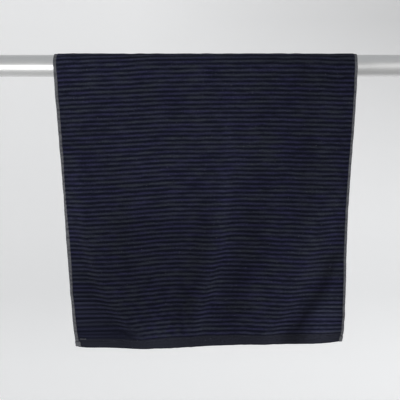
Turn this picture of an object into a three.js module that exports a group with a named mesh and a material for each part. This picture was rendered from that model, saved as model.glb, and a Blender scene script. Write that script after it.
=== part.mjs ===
// Bath towel folded in half over a round bar.
// Millimetres. X runs along the bar, +Y points away from the viewer, +Z is up.
// The origin is the centre of the bar's left end face.
import * as THREE from "three";

// The bar: a plain round tube with its ends closed.
const BAR_LENGTH = 1000;
const BAR_RADIUS = 25.4;
const BAR_SIDES = 64;
const BAR_EDGE = 1;

// The towel as it was cut: 700 by 1400 with its two side bindings.
const HALF_LENGTH = 700;
const BINDING_WIDTH = 7;
const PIECE_GAP = 0.3;

// The cloth, from its ground to the tops of its ribs.
const CLOTH_THICKNESS = 3;
const BAR_CLEARANCE = 0.5;
const HANG_RADIUS = BAR_RADIUS + BAR_CLEARANCE + CLOTH_THICKNESS / 2;
const QUARTER_TURN = (HANG_RADIUS * Math.PI) / 2;

// The ribs lie across the towel. The one numbered 0 lies this far along from the top of the bar,
// and the others are counted from it to the hem on either end.
const RIB_PITCH = 10.35;
const RIB_HEIGHT = 1.4;
const RIB_SHIFT = -2.8;
const RIBS_IN_FRONT = 65;
const RIBS_BEHIND = 64;

// Each hem is turned up and stitched, so it stands over the ground from this step on.
const HEM_DEPTH = 24.5;
const HEM_RISE = 0.9;
const HEM_STEP = 0.5;
const HEM_START = HALF_LENGTH - HEM_DEPTH;

// The smooth inner face has two rows for each rib as far as this below the bar's axis, and from
// there one row for three ribs.
const BEND_REACH = 20;
const RIBS_PER_INNER_ROW = 3;

// How the front panel hangs, in sections at a drop below the bar's axis.
// Each column is a line that runs down the cloth: the two edges, the crest and the trough of
// folds A, B and C, and the soft places between them. Each entry is [x along the bar, out],
// where out is how far the line stands out from a straight hang.
const FRONT_SECTIONS = [
  { drop: 0, left: [151, 0], troughA: [168, 0], crestA: [224, 0], easeA: [329, 0], low: [449, 0],
    crestB: [541, 0], troughB: [582, 0], middle: [647, 0], crestC: [761, 0], troughC: [807, 0],
    right: [851, 0] },
  { drop: 150, left: [162, 4], troughA: [177, 6], crestA: [216, 8], easeA: [322, 4], low: [448, 0],
    crestB: [536, 1], troughB: [582, -1], middle: [647, 0], crestC: [764, 2], troughC: [808, 0],
    right: [845.5, -2] },
  { drop: 278, left: [171, 13], troughA: [187, 19], crestA: [223, 27], easeA: [321, 17], low: [447, -1],
    crestB: [527, 4], troughB: [578, -4], middle: [643, -1], crestC: [764, 5], troughC: [806, 0],
    right: [839.5, -5] },
  { drop: 391, left: [173.5, -6], troughA: [198, 1], crestA: [234, 27], easeA: [320, 20], low: [447, 0],
    crestB: [522, 14], troughB: [566, -8], middle: [635, 0], crestC: [748, 16], troughC: [792, -10],
    right: [837.5, -20] },
  { drop: 535, left: [181.5, -12], troughA: [240, -3], crestA: [281, 22], easeA: [352, 15], low: [430, 0],
    crestB: [492, 8], troughB: [531, -12], middle: [607, -5], crestC: [700, 10], troughC: [742, -10],
    right: [836.5, -23] },
  { drop: 623, left: [190, -6], troughA: [294, -2], crestA: [342, 19], easeA: [390, 9], low: [437, 3],
    crestB: [468, 3], troughB: [506, -7], middle: [580, -5], crestC: [644, 3], troughC: [684, -11],
    right: [835, -27] },
  { drop: 664, left: [193, -18], troughA: [315, -7], crestA: [366, 11], easeA: [413, 10], low: [446, 6],
    crestB: [470, 3], troughB: [510, -2], middle: [580, -5], crestC: [632, -4], troughC: [676, -10],
    right: [830, -31] },
];

// The back panel hangs straighter: softer waves, and a little narrower than the front.
const BACK_SECTIONS = [
  FRONT_SECTIONS[0],
  { drop: 278, left: [174, 1], troughA: [196, 2], crestA: [243, 3], easeA: [338, -2], low: [436, -4],
    crestB: [519, 2], troughB: [573, 4], middle: [641, 1], crestC: [745, -3], troughC: [794, -2],
    right: [831, 0] },
  { drop: 535, left: [188, 4], troughA: [222, 8], crestA: [271, 6], easeA: [347, -6], low: [430, -9],
    crestB: [503, 3], troughB: [563, 10], middle: [635, 4], crestC: [730, -8], troughC: [781, -6],
    right: [824, 3] },
  { drop: 664, left: [199, 6], troughA: [236, 10], crestA: [284, 8], easeA: [353, -7], low: [428, -12],
    crestB: [497, 4], troughB: [558, 12], middle: [630, 5], crestC: [722, -9], troughC: [774, -7],
    right: [819, 5] },
];

const LINES = ["left", "troughA", "crestA", "easeA", "low", "crestB", "troughB", "middle",
  "crestC", "troughC", "right"];
const LAST_LINE = LINES.length - 1;

// The towel was hung a little askew. In front each thread lies this much lower than straight,
// by its place across the width, from 0 at the left edge to 1 at the right edge: near the bar,
// and at the lower end, where the right corner is drawn up.
const SLANT = [
  { across: 0, above: 17.6, below: 10.4 },
  { across: 0.03, above: 16.2, below: 13.6 },
  { across: 0.12, above: 13.6, below: 12.3 },
  { across: 0.2, above: 11.7, below: 12.8 },
  { across: 0.27, above: 9.2, below: 8.9 },
  { across: 0.35, above: 6.5, below: 8 },
  { across: 0.47, above: 5, below: 6.7 },
  { across: 0.65, above: 3.6, below: 3.8 },
  { across: 0.79, above: 4.2, below: 4.8 },
  { across: 0.9, above: 6, below: 6.1 },
  { across: 0.96, above: 7, below: 4.8 },
  { across: 1, above: 7.2, below: 1.5 },
];
const SLANT_TURNS_FROM = 640;

// How far apart the points are that give the direction of the cloth at a place: in columns
// across, and in length along.
const NEARBY_COLUMN = 0.3;
const NEARBY_RUN = 0.5;

// A smooth curve through the points (at[i], value[i]), level with its neighbours at each point.
function curve(at, value, where) {
  const last = at.length - 1;
  if (where <= at[0]) return value[0];
  if (where >= at[last]) return value[last];
  let i = 0;
  while (at[i + 1] < where) i += 1;
  const slope = (k) => {
    const before = Math.max(k - 1, 0);
    const after = Math.min(k + 1, last);
    return (value[after] - value[before]) / (at[after] - at[before]);
  };
  const span = at[i + 1] - at[i];
  const t = (where - at[i]) / span;
  const rise = value[i + 1] - value[i];
  const start = slope(i) * span;
  const end = slope(i + 1) * span;
  return value[i] + start * t + (3 * rise - 2 * start - end) * t * t + (start + end - 2 * rise) * t ** 3;
}

// How much lower than straight a thread lies at one place across the width.
function slantDrop(across, run) {
  const places = SLANT.map((row) => row.across);
  const above = curve(places, SLANT.map((row) => row.above), across);
  const below = curve(places, SLANT.map((row) => row.below), across);
  return above + (below - above) * THREE.MathUtils.smoothstep(run, SLANT_TURNS_FROM, HALF_LENGTH);
}

// Where a line of the panel runs at one drop: its x, or how far it stands out.
function lineAt(sections, line, drop, entry) {
  return curve(sections.map((row) => row.drop), sections.map((row) => row[line][entry]), drop);
}

// A point of the cloth's middle layer. The run is the length along the towel from the top of
// the bar, positive in front. Column may lie between two lines.
function clothPoint(column, run) {
  const sections = run >= 0 ? FRONT_SECTIONS : BACK_SECTIONS;
  const facing = run >= 0 ? -1 : 1;
  const straightDrop = Math.max(Math.abs(run) - QUARTER_TURN, 0);
  const first = Math.min(Math.floor(column), LAST_LINE - 1);
  const share = column - first;
  const between = (drop, entry) => {
    const from = lineAt(sections, LINES[first], drop, entry);
    const to = lineAt(sections, LINES[first + 1], drop, entry);
    return from + (to - from) * share;
  };
  const leftEdge = lineAt(sections, "left", straightDrop, 0);
  const rightEdge = lineAt(sections, "right", straightDrop, 0);
  const across = (between(straightDrop, 0) - leftEdge) / (rightEdge - leftEdge);
  const length = run + slantDrop(across, run);
  if (Math.abs(length) < QUARTER_TURN) {
    const turn = length / HANG_RADIUS;
    return new THREE.Vector3(between(0, 0), -HANG_RADIUS * Math.sin(turn), HANG_RADIUS * Math.cos(turn));
  }
  const drop = Math.abs(length) - QUARTER_TURN;
  return new THREE.Vector3(between(drop, 0), facing * (HANG_RADIUS + between(drop, 1)), -drop);
}

// The direction out of the towel's outer face at that point.
function clothNormal(column, run) {
  const acrossFrom = clothPoint(Math.max(column - NEARBY_COLUMN, 0), run);
  const acrossTo = clothPoint(Math.min(column + NEARBY_COLUMN, LAST_LINE), run);
  const alongFrom = clothPoint(column, Math.max(run - NEARBY_RUN, -HALF_LENGTH));
  const alongTo = clothPoint(column, Math.min(run + NEARBY_RUN, HALF_LENGTH));
  return acrossFrom.sub(acrossTo).cross(alongTo.sub(alongFrom)).normalize();
}

// A point at a height over the middle layer, moved along the bar by aside.
function layerPoint(column, run, height, aside) {
  const point = clothPoint(column, run);
  point.addScaledVector(clothNormal(column, run), height);
  point.x += aside;
  return point;
}

// A closed body from the points and faces that the piece functions collect.
class Body {
  constructor() {
    this.points = [];
    this.faces = [];
  }

  add(point) {
    this.points.push(point);
    return this.points.length - 1;
  }

  quad(a, b, c, d) {
    this.faces.push([a, b, c], [a, c, d]);
  }

  // Joins two rows of points that run the same way, whose places along the way differ.
  zip(rowA, rowB) {
    let a = 0;
    let b = 0;
    while (a < rowA.length - 1 || b < rowB.length - 1) {
      const stepA = b === rowB.length - 1 || (a < rowA.length - 1 && rowA[a + 1].run <= rowB[b + 1].run);
      if (stepA) {
        this.faces.push([rowA[a].index, rowA[a + 1].index, rowB[b].index]);
        a += 1;
      } else {
        this.faces.push([rowA[a].index, rowB[b + 1].index, rowB[b].index]);
        b += 1;
      }
    }
  }

  mesh(name, material) {
    const geometry = new THREE.BufferGeometry();
    const positions = this.points.flatMap((point) => [point.x, point.y, point.z]);
    geometry.setAttribute("position", new THREE.Float32BufferAttribute(positions, 3));
    geometry.setIndex(this.faces.flat());
    geometry.computeVertexNormals();
    const mesh = new THREE.Mesh(geometry, material);
    mesh.name = name;
    return mesh;
  }
}

// The rows of the ribbed outer face: a groove and a crest for each rib, then the plain hems.
// Behind, half a rib's width stays flat before the hem.
function outerRows() {
  const ground = CLOTH_THICKNESS / 2;
  const rows = [{ run: -HEM_START, height: ground }];
  for (let rib = -RIBS_BEHIND; rib <= RIBS_IN_FRONT; rib += 1) {
    rows.push({ run: (rib - 0.5) * RIB_PITCH + RIB_SHIFT, height: ground });
    rows.push({ run: rib * RIB_PITCH + RIB_SHIFT, height: ground + RIB_HEIGHT });
  }
  rows.push({ run: (RIBS_IN_FRONT + 0.5) * RIB_PITCH + RIB_SHIFT, height: ground });
  for (const run of [HEM_START + HEM_STEP, HALF_LENGTH]) {
    rows.unshift({ run: -run, height: ground + HEM_RISE });
    rows.push({ run, height: ground + HEM_RISE });
  }
  return rows;
}

// The rows of the smooth inner face, close together where it bends over the bar.
function innerRows() {
  const height = -CLOTH_THICKNESS / 2;
  const bendEnd = Math.ceil((QUARTER_TURN + BEND_REACH) / RIB_PITCH);
  const runs = [];
  for (let half = -2 * bendEnd; half <= 2 * bendEnd; half += 1) runs.push((half * RIB_PITCH) / 2);
  for (let rib = bendEnd + RIBS_PER_INNER_ROW; rib < RIBS_IN_FRONT; rib += RIBS_PER_INNER_ROW) {
    runs.push(rib * RIB_PITCH);
    runs.unshift(-rib * RIB_PITCH);
  }
  runs.push(HALF_LENGTH);
  runs.unshift(-HALF_LENGTH);
  return runs.map((run) => ({ run, height }));
}

// One face of the towel: rows of points from the left edge to the right edge.
function clothFace(body, rows) {
  const inset = BINDING_WIDTH + PIECE_GAP;
  return rows.map((row) => LINES.map((line, column) => {
    const aside = column === 0 ? inset : column === LAST_LINE ? -inset : 0;
    return { run: row.run, index: body.add(layerPoint(column, row.run, row.height, aside)) };
  }));
}

function towel(material) {
  const body = new Body();
  const outer = clothFace(body, outerRows());
  const inner = clothFace(body, innerRows());
  const cover = (face, a, b, c, d) => {
    for (let row = 0; row < face.length - 1; row += 1) {
      for (let column = 0; column < LAST_LINE; column += 1) {
        const corners = [
          face[row][column].index,
          face[row][column + 1].index,
          face[row + 1][column + 1].index,
          face[row + 1][column].index,
        ];
        body.quad(corners[a], corners[b], corners[c], corners[d]);
      }
    }
  };
  cover(outer, 0, 3, 2, 1);
  cover(inner, 0, 1, 2, 3);
  body.zip(outer.map((row) => row[LAST_LINE]), inner.map((row) => row[LAST_LINE]));
  body.zip(inner.map((row) => row[0]), outer.map((row) => row[0]));
  const outerEnd = outer[outer.length - 1];
  const innerEnd = inner[inner.length - 1];
  for (let column = 0; column < LAST_LINE; column += 1) {
    const next = column + 1;
    body.quad(outerEnd[column].index, innerEnd[column].index, innerEnd[next].index, outerEnd[next].index);
    body.quad(outer[0][column].index, outer[0][next].index, inner[0][next].index, inner[0][column].index);
  }
  return body.mesh("towel", material);
}

// The folded tape along one long edge: half its thickness, more over the hems, and its rounding.
const TAPE_HALF = 2.5;
const TAPE_HALF_AT_HEM = 3;
const TAPE_ROUND = 1.4;
const TAPE_STEP = 2;

// Each point of its section is the distance in from the edge and the height over the middle layer.
function tapeSection(half) {
  return [
    { inward: BINDING_WIDTH, height: -half },
    { inward: TAPE_ROUND, height: -half },
    { inward: 0, height: TAPE_ROUND - half },
    { inward: 0, height: half - TAPE_ROUND },
    { inward: TAPE_ROUND, height: half },
    { inward: BINDING_WIDTH, height: half },
  ];
}

// The tape's inner side keeps the cloth's own height, so that it lies on the bar as the cloth does.
function binding(name, column, inwardSign, material) {
  const body = new Body();
  const between = innerRows().map((row) => row.run).filter((run) => Math.abs(run) < HEM_START - TAPE_STEP);
  const runs = [
    -HALF_LENGTH, -HEM_START, TAPE_STEP - HEM_START, ...between, HEM_START - TAPE_STEP, HEM_START, HALF_LENGTH,
  ];
  const rings = runs.map((run) => {
    const half = Math.abs(run) >= HEM_START ? TAPE_HALF_AT_HEM : TAPE_HALF;
    return tapeSection(half).map(({ inward, height }) => {
      const kept = Math.max(height, -CLOTH_THICKNESS / 2);
      return body.add(layerPoint(column, run, kept, inwardSign * inward));
    });
  });
  const count = rings[0].length;
  const turned = (a, b, c, d) => (inwardSign > 0 ? body.quad(d, c, b, a) : body.quad(a, b, c, d));
  for (let row = 0; row < rings.length - 1; row += 1) {
    for (let side = 0; side < count; side += 1) {
      const next = (side + 1) % count;
      turned(rings[row][side], rings[row][next], rings[row + 1][next], rings[row + 1][side]);
    }
  }
  const cap = (ring, flip) => {
    for (let side = 1; side < count - 1; side += 1) {
      const face = [ring[0], ring[side], ring[side + 1]];
      body.faces.push(flip ? face.reverse() : face);
    }
  };
  cap(rings[0], inwardSign < 0);
  cap(rings[rings.length - 1], inwardSign > 0);
  return body.mesh(name, material);
}

// The bar, turned from a profile, with its ends just broken.
function bar(material) {
  const profile = [
    [0, 0],
    [BAR_RADIUS - BAR_EDGE, 0],
    [BAR_RADIUS, BAR_EDGE],
    [BAR_RADIUS, BAR_LENGTH - BAR_EDGE],
    [BAR_RADIUS - BAR_EDGE, BAR_LENGTH],
    [0, BAR_LENGTH],
  ].map(([radius, along]) => new THREE.Vector2(radius, along));
  const geometry = new THREE.LatheGeometry(profile, BAR_SIDES);
  const mesh = new THREE.Mesh(geometry, material);
  mesh.rotation.z = -Math.PI / 2;
  mesh.name = "bar";
  return mesh;
}

const terry = new THREE.MeshStandardMaterial({ color: "#1e202b", roughness: 0.95, metalness: 0 });
const tape = new THREE.MeshStandardMaterial({ color: "#5d5f66", roughness: 0.9, metalness: 0 });
const metal = new THREE.MeshStandardMaterial({ color: "#c9c9c7", roughness: 0.3, metalness: 1 });

const object = new THREE.Group();
object.add(bar(metal));
object.add(towel(terry));
object.add(binding("binding_left", 0, 1, tape));
object.add(binding("binding_right", LAST_LINE, -1, tape));

export default object;
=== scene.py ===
import math

import bmesh
import bpy
import numpy as np
from mathutils import Matrix, Vector


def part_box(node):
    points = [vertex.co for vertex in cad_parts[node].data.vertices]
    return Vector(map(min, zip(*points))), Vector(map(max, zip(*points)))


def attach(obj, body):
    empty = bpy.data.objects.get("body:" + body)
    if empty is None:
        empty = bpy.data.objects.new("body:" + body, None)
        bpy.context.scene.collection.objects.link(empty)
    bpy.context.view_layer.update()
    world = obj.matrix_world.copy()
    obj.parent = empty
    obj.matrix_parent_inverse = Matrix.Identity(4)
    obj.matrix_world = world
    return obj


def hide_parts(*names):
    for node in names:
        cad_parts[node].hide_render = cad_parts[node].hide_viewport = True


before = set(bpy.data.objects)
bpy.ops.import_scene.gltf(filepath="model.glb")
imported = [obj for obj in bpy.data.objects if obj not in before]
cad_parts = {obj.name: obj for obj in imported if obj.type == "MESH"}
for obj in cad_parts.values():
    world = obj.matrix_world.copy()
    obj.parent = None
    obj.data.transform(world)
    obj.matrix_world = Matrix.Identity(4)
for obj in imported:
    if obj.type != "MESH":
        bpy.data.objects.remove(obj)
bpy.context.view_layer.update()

# Metres, in the frame of the part: X along the bar, +Y away from the viewer, +Z up.
# The bar, read from the frame.
bar_low, bar_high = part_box("bar")
BAR_LENGTH = bar_high.x - bar_low.x
BAR_RADIUS = (bar_high.z - bar_low.z) / 2
BAR_EDGE = 0.001
BAR_EDGE_INNER = 0.3 * BAR_EDGE
BAR_STEPS = 160
# Faces that look along the bar more than this are flat.
FLAT_FROM = 0.9

# The towel as it was cut, and its cloth.
TOWEL_WIDTH = 0.700
TOWEL_LENGTH = 1.400
HALF_LENGTH = TOWEL_LENGTH / 2
CLOTH_THICKNESS = 0.003
BAR_CLEARANCE = 0.0005
HANG_RADIUS = BAR_RADIUS + BAR_CLEARANCE + CLOTH_THICKNESS / 2
QUARTER_TURN = HANG_RADIUS * math.pi / 2
RIB_PITCH = 0.01035
RIB_HEIGHT = 0.0014
RIB_SHIFT = -0.0034
RIBS_IN_FRONT = 65
RIBS_BEHIND = 64

# How the front panel hangs, in sections at a drop below the bar's axis. Each column is a line
# that runs down the cloth: the two edges, the crest and trough of folds A, B and C, and the
# soft places between them. Each entry is (x along the bar, how far it stands out).
LINES = ("left", "trough_a", "crest_a", "ease_a", "low", "crest_b", "trough_b", "middle",
         "crest_c", "trough_c", "right")
FRONT_SECTIONS = (
    dict(drop=0.000, left=(0.151, 0.000), trough_a=(0.168, 0.000), crest_a=(0.224, 0.000),
         ease_a=(0.329, 0.000), low=(0.449, 0.000), crest_b=(0.541, 0.000), trough_b=(0.582, 0.000),
         middle=(0.647, 0.000), crest_c=(0.761, 0.000), trough_c=(0.807, 0.000), right=(0.8525, 0.000)),
    dict(drop=0.150, left=(0.1608, 0.004), trough_a=(0.177, 0.006), crest_a=(0.216, 0.008),
         ease_a=(0.322, 0.004), low=(0.448, 0.000), crest_b=(0.536, 0.001), trough_b=(0.582, -0.001),
         middle=(0.647, 0.000), crest_c=(0.764, 0.002), trough_c=(0.808, 0.000), right=(0.8468, -0.002)),
    dict(drop=0.278, left=(0.171, 0.013), trough_a=(0.187, 0.019), crest_a=(0.223, 0.027),
         ease_a=(0.321, 0.017), low=(0.447, -0.001), crest_b=(0.533, 0.004), trough_b=(0.572, -0.004),
         middle=(0.643, -0.001), crest_c=(0.764, 0.005), trough_c=(0.806, 0.000), right=(0.8395, -0.005)),
    dict(drop=0.391, left=(0.1735, -0.006), trough_a=(0.198, 0.001), crest_a=(0.234, 0.027),
         ease_a=(0.320, 0.020), low=(0.447, 0.000), crest_b=(0.529, 0.013), trough_b=(0.559, -0.008),
         middle=(0.635, 0.000), crest_c=(0.748, 0.016), trough_c=(0.792, -0.010), right=(0.8375, -0.020)),
    dict(drop=0.535, left=(0.1815, -0.012), trough_a=(0.240, -0.003), crest_a=(0.281, 0.022),
         ease_a=(0.352, 0.015), low=(0.430, 0.000), crest_b=(0.498, 0.007), trough_b=(0.526, -0.012),
         middle=(0.607, -0.005), crest_c=(0.700, 0.010), trough_c=(0.742, -0.010), right=(0.8365, -0.023)),
    dict(drop=0.623, left=(0.1883, -0.006), trough_a=(0.294, -0.002), crest_a=(0.342, 0.019),
         ease_a=(0.390, 0.009), low=(0.437, 0.003), crest_b=(0.468, 0.003), trough_b=(0.506, -0.007),
         middle=(0.580, -0.005), crest_c=(0.644, 0.003), trough_c=(0.684, -0.011), right=(0.835, -0.027)),
    dict(drop=0.664, left=(0.1918, -0.018), trough_a=(0.315, -0.007), crest_a=(0.366, 0.011),
         ease_a=(0.413, 0.010), low=(0.446, 0.006), crest_b=(0.470, 0.003), trough_b=(0.510, -0.002),
         middle=(0.580, -0.005), crest_c=(0.632, -0.004), trough_c=(0.676, -0.010), right=(0.830, -0.031)),
)

# The back panel hangs straighter: softer waves, and a little narrower than the front.
BACK_SECTIONS = (
    FRONT_SECTIONS[0],
    dict(drop=0.278, left=(0.174, 0.001), trough_a=(0.196, 0.002), crest_a=(0.243, 0.003),
         ease_a=(0.338, -0.002), low=(0.436, -0.004), crest_b=(0.519, 0.002), trough_b=(0.573, 0.004),
         middle=(0.641, 0.001), crest_c=(0.745, -0.003), trough_c=(0.794, -0.002), right=(0.831, 0.000)),
    dict(drop=0.535, left=(0.188, 0.004), trough_a=(0.222, 0.008), crest_a=(0.271, 0.006),
         ease_a=(0.347, -0.006), low=(0.430, -0.009), crest_b=(0.503, 0.003), trough_b=(0.563, 0.010),
         middle=(0.635, 0.004), crest_c=(0.730, -0.008), trough_c=(0.781, -0.006), right=(0.824, 0.003)),
    dict(drop=0.664, left=(0.199, 0.006), trough_a=(0.236, 0.010), crest_a=(0.284, 0.008),
         ease_a=(0.353, -0.007), low=(0.428, -0.012), crest_b=(0.497, 0.004), trough_b=(0.558, 0.012),
         middle=(0.630, 0.005), crest_c=(0.722, -0.009), trough_c=(0.774, -0.007), right=(0.819, 0.005)),
)

# The towel was hung a little askew. In front each thread lies this much lower than straight,
# by its place across the width, from 0 at the left edge to 1 at the right edge: near the bar,
# and at the lower end, where the right corner is drawn up.
SLANT_ACROSS = (0.00, 0.03, 0.12, 0.20, 0.27, 0.35, 0.47, 0.65, 0.79, 0.90, 0.96, 1.00)
SLANT_ABOVE = (0.0176, 0.0162, 0.0136, 0.0117, 0.0092, 0.0065,
               0.0050, 0.0036, 0.0042, 0.0060, 0.0070, 0.0072)
SLANT_BELOW = (0.0104, 0.0136, 0.0129, 0.0139, 0.0101, 0.0086,
               0.0067, 0.0038, 0.0048, 0.0061, 0.0048, 0.0015)
SLANT_TURNS = (0.640, 0.700)

# The surface of the cloth


def ramp(value, low, high):
    """0 below low, 1 above high, and an even S between them."""
    t = np.clip((value - low) / (high - low), 0, 1)
    return t * t * (3 - 2 * t)


def bend(value, rise, start, end, t):
    """A cubic that leaves a value at the slope start and has risen at the slope end when t is 1."""
    return value + start * t + (3 * rise - 2 * start - end) * t**2 + (start + end - 2 * rise) * t**3


def curve(at, values, where):
    """Smooth curve through values at the places at. The values may be arrays along a last axis."""
    at = np.asarray(at)
    values = np.asarray(values)
    last = len(at) - 1
    before = np.maximum(np.arange(last + 1) - 1, 0)
    after = np.minimum(np.arange(last + 1) + 1, last)
    gaps = (at[after] - at[before]).reshape((-1,) + (1,) * (values.ndim - 1))
    slopes = (values[after] - values[before]) / gaps
    where = np.clip(where, at[0], at[last])
    i = np.clip(np.searchsorted(at, where, side="right") - 1, 0, last - 1)
    span = at[i + 1] - at[i]
    t = (where - at[i]) / span
    if values.ndim > 1:
        span = span[..., None]
        t = t[..., None]
    rise = values[i + 1] - values[i]
    return bend(values[i], rise, slopes[i] * span, slopes[i + 1] * span, t)


def fold_lines(sections, drop):
    """The x of every line of the panel and how far it stands out, at an array of drops."""
    drops = [section["drop"] for section in sections]
    places = [[section[line][0] for line in LINES] for section in sections]
    depths = [[section[line][1] for line in LINES] for section in sections]
    return curve(drops, places, drop), curve(drops, depths, drop)


def pick(table, index):
    """One number of each row of a table."""
    return np.take_along_axis(table, index[..., None], axis=-1)[..., 0]


def stand_out(x, places, depths):
    """How far the cloth stands out at x: a curve through the fold lines that never overshoots."""
    steps = np.diff(places, axis=-1)
    grades = np.diff(depths, axis=-1) / steps
    inner = np.where(
        grades[..., :-1] * grades[..., 1:] > 0,
        2 * grades[..., :-1] * grades[..., 1:] / (grades[..., :-1] + grades[..., 1:] + 1e-12),
        0.0,
    )
    slopes = np.concatenate([grades[..., :1], inner, grades[..., -1:]], axis=-1)
    i = np.clip((x[..., None] >= places).sum(axis=-1) - 1, 0, len(LINES) - 2)
    span = pick(steps, i)
    t = (x - pick(places, i)) / span
    rise = pick(depths, i + 1) - pick(depths, i)
    return bend(pick(depths, i), rise, pick(slopes, i) * span, pick(slopes, i + 1) * span, t)


def cloth_points(column, aside, run):
    """Points of the cloth's middle layer. Column counts the fold lines from the left, aside shifts
    along the bar, and run is the length along the towel from the top of the bar, front positive."""
    column, aside, run = np.broadcast_arrays(column, aside, run)
    first = np.clip(np.floor(column).astype(int), 0, len(LINES) - 2)
    share = column - first
    points = np.zeros(run.shape + (3,))
    for sections, facing, here in ((FRONT_SECTIONS, -1, run >= 0), (BACK_SECTIONS, 1, run < 0)):
        straight = np.maximum(np.abs(run) - QUARTER_TURN, 0)
        places, _ = fold_lines(sections, straight)
        x = pick(places, first) * (1 - share) + pick(places, first + 1) * share + aside
        across = (x - places[..., 0]) / (places[..., -1] - places[..., 0])
        above = curve(SLANT_ACROSS, SLANT_ABOVE, across)
        below = curve(SLANT_ACROSS, SLANT_BELOW, across)
        length = run + above + (below - above) * ramp(run, *SLANT_TURNS)
        drop = np.maximum(np.abs(length) - QUARTER_TURN, 0)
        places, depths = fold_lines(sections, drop)
        x = pick(places, first) * (1 - share) + pick(places, first + 1) * share + aside
        depth = stand_out(x, places, depths)
        turn = np.clip(length / HANG_RADIUS, -math.pi / 2, math.pi / 2)
        y = -HANG_RADIUS * np.sin(turn) + facing * np.where(drop > 0, depth, 0)
        z = HANG_RADIUS * np.cos(turn) - drop
        points[here] = np.stack([x, y, z], axis=-1)[here]
    return points


def cloth_normals(points):
    """Directions out of the towel's outer face, for a grid of rows of points."""
    along = np.gradient(points, axis=0)
    across = np.gradient(points, axis=1)
    normals = np.cross(across, along)
    normals /= np.linalg.norm(normals, axis=-1, keepdims=True)
    return -normals


# Helpers for pieces

# Vertices nearer than this are one: in a turned form, and along the seam of a tape.
MERGED_WITHIN = 1e-6
SEAM_WITHIN = 1e-7


def soft_waves(seed, across, along, width, length, count=14):
    """Gentle unevenness between about -1 and 1: a few long waves whose crests lie every way."""
    rng = np.random.default_rng(seed)
    total = np.zeros(np.broadcast(across, along).shape)
    for _ in range(count):
        turns_across = rng.uniform(-1, 1) / width
        turns_along = rng.uniform(-1, 1) / length
        start = rng.uniform(0, 1)
        total += np.sin(2 * math.pi * (across * turns_across + along * turns_along + start))
    return total / math.sqrt(count)


def uneven(seed, across, along, waves):
    """Soft waves of the size, width and length given."""
    size, width, length = waves
    return size * soft_waves(seed, across, along, width, length)


def laid_rows(bm, points, **marks):
    """Rows of vertices through a table of points, made as a flat grid and then bent to them.
    Each mark is a table of numbers that the vertices keep, such as their place on the cloth."""
    rows, columns = points.shape[:2]
    made = bmesh.ops.create_grid(bm, x_segments=columns - 1, y_segments=rows - 1, size=1)
    verts = sorted(made["verts"], key=lambda vert: (round(vert.co.y, 6), round(vert.co.x, 6)))
    for vert, place in zip(verts, points.reshape(-1, 3)):
        vert.co = place
    for name, table in marks.items():
        layer = bm.verts.layers.float[name]
        for vert, value in zip(verts, np.broadcast_to(table, (rows, columns)).ravel()):
            vert[layer] = value
    return [verts[row * columns:(row + 1) * columns] for row in range(rows)]


def cloth_mesh(*marks):
    """An empty bmesh whose vertices can keep their place on the cloth and the marks named."""
    bm = bmesh.new()
    for name in ("across", "along") + marks:
        bm.verts.layers.float.new(name)
    return bm


def chain(verts):
    """The edges that join each vertex of a row to the next."""
    return [
        next(edge for edge in here.link_edges if edge.other_vert(here) is there)
        for here, there in zip(verts[:-1], verts[1:])
    ]


def map_cloth(bm):
    """The map that weave and colour follow: metres across the cloth and along it."""
    across = bm.verts.layers.float["across"]
    along = bm.verts.layers.float["along"]
    cloth_map = bm.loops.layers.uv.new("cloth")
    for face in bm.faces:
        for corner in face.loops:
            corner[cloth_map].uv = (corner.vert[across], corner.vert[along])


def turned(profile, centre, axis, steps):
    """A bmesh with the surface that a profile sweeps when it is turned about an axis."""
    bm = bmesh.new()
    verts = [bm.verts.new(place) for place in profile]
    edges = [bm.edges.new(pair) for pair in zip(verts[:-1], verts[1:])]
    bmesh.ops.spin(bm, geom=verts + edges, cent=centre, axis=axis, angle=2 * math.pi,
                   steps=steps, use_merge=True)
    bmesh.ops.remove_doubles(bm, verts=bm.verts, dist=MERGED_WITHIN)
    return bm


def add_object(name, data):
    """An object in the scene."""
    made = bpy.data.objects.new(name, data)
    bpy.context.scene.collection.objects.link(made)
    return made


def smooth_object(name, bm, material):
    """An object with the mesh of a bmesh, smooth all over."""
    mesh = bpy.data.meshes.new(name)
    bm.to_mesh(mesh)
    bm.free()
    mesh.shade_smooth()
    mesh.materials.append(material)
    return add_object(name, mesh)


def make_piece(name, bm, material):
    """Turns a bmesh into a finished piece of the one body."""
    bmesh.ops.recalc_face_normals(bm, faces=bm.faces)
    piece = smooth_object(name, bm, material)
    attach(piece, "root")
    return piece


# Shader nodes


def new_material(name, roughness, metallic=0.0):
    """A material with one shader, which is returned with its tree."""
    material = bpy.data.materials.new(name)
    material.use_nodes = True
    tree = material.node_tree
    tree.nodes.clear()
    output = tree.nodes.new("ShaderNodeOutputMaterial")
    shader = tree.nodes.new("ShaderNodeBsdfPrincipled")
    shader.inputs["Roughness"].default_value = roughness
    shader.inputs["Metallic"].default_value = metallic
    tree.links.new(shader.outputs["BSDF"], output.inputs["Surface"])
    return material, tree, shader


def add_node(tree, kind, inputs=None, **settings):
    """A node with its settings, and its inputs set to a value or linked to a socket."""
    made = tree.nodes.new(kind)
    for name, value in settings.items():
        setattr(made, name, value)
    for name, value in (inputs or {}).items():
        if isinstance(value, bpy.types.NodeSocket):
            tree.links.new(value, made.inputs[name])
        else:
            made.inputs[name].default_value = value
    return made


def calculate(tree, operation, first, second):
    """Two values or sockets, joined by an operation."""
    made = add_node(tree, "ShaderNodeMath", {0: first, 1: second}, operation=operation)
    return made.outputs[0]


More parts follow.
